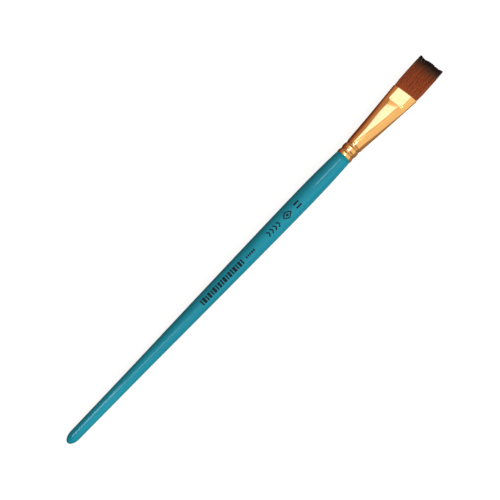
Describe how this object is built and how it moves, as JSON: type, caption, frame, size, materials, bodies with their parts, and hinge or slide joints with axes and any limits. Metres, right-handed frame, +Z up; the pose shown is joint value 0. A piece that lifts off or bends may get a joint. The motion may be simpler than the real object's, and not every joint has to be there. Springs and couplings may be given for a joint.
{
  "type": "flat paint brush",
  "caption": "Long-handled flat artist's paint brush: tapered lacquered wooden handle, crimped and flattened metal ferrule, and a soft tuft that flexes.",
  "frame": {"origin": "on the table under the brush, halfway between the tail of the handle and the tips of the hair, under the brush's axis", "axes": "+X towards the hair, +Y across the flat of the brush, +Z up. The brush balances on a 40 mm stretch of the belly of its handle, just under its balance point, so its axis rises towards the hair by 0.57 degrees"},
  "size_m": [0.305, 0.0177, 0.0114],
  "materials": {
    "lacquered_wood": "gloss",
    "gold_ferrule": "polished",
    "glue": "satin",
    "hair": "satin"
  },
  "bodies": {
    "brush": {"handle": "lacquered_wood", "ferrule": "gold_ferrule", "glue_plug": "glue", "hair_roots": "hair"},
    "tuft": {"hair_lock_1": "hair", "hair_lock_2": "hair", "hair_lock_3": "hair", "hair_lock_4": "hair", "hair_lock_5": "hair", "hair_lock_6": "hair", "hair_lock_7": "hair"}
  },
  "joints": [
    {"name": "tuft_flex", "type": "hinge", "parent": "brush", "child": "tuft", "pos_m": [0.13159, 0, 0.00656], "axis": [0, 1, 0], "range_deg": [-40, 40], "stiffness_Nm_per_rad": 0.015}
  ]
}
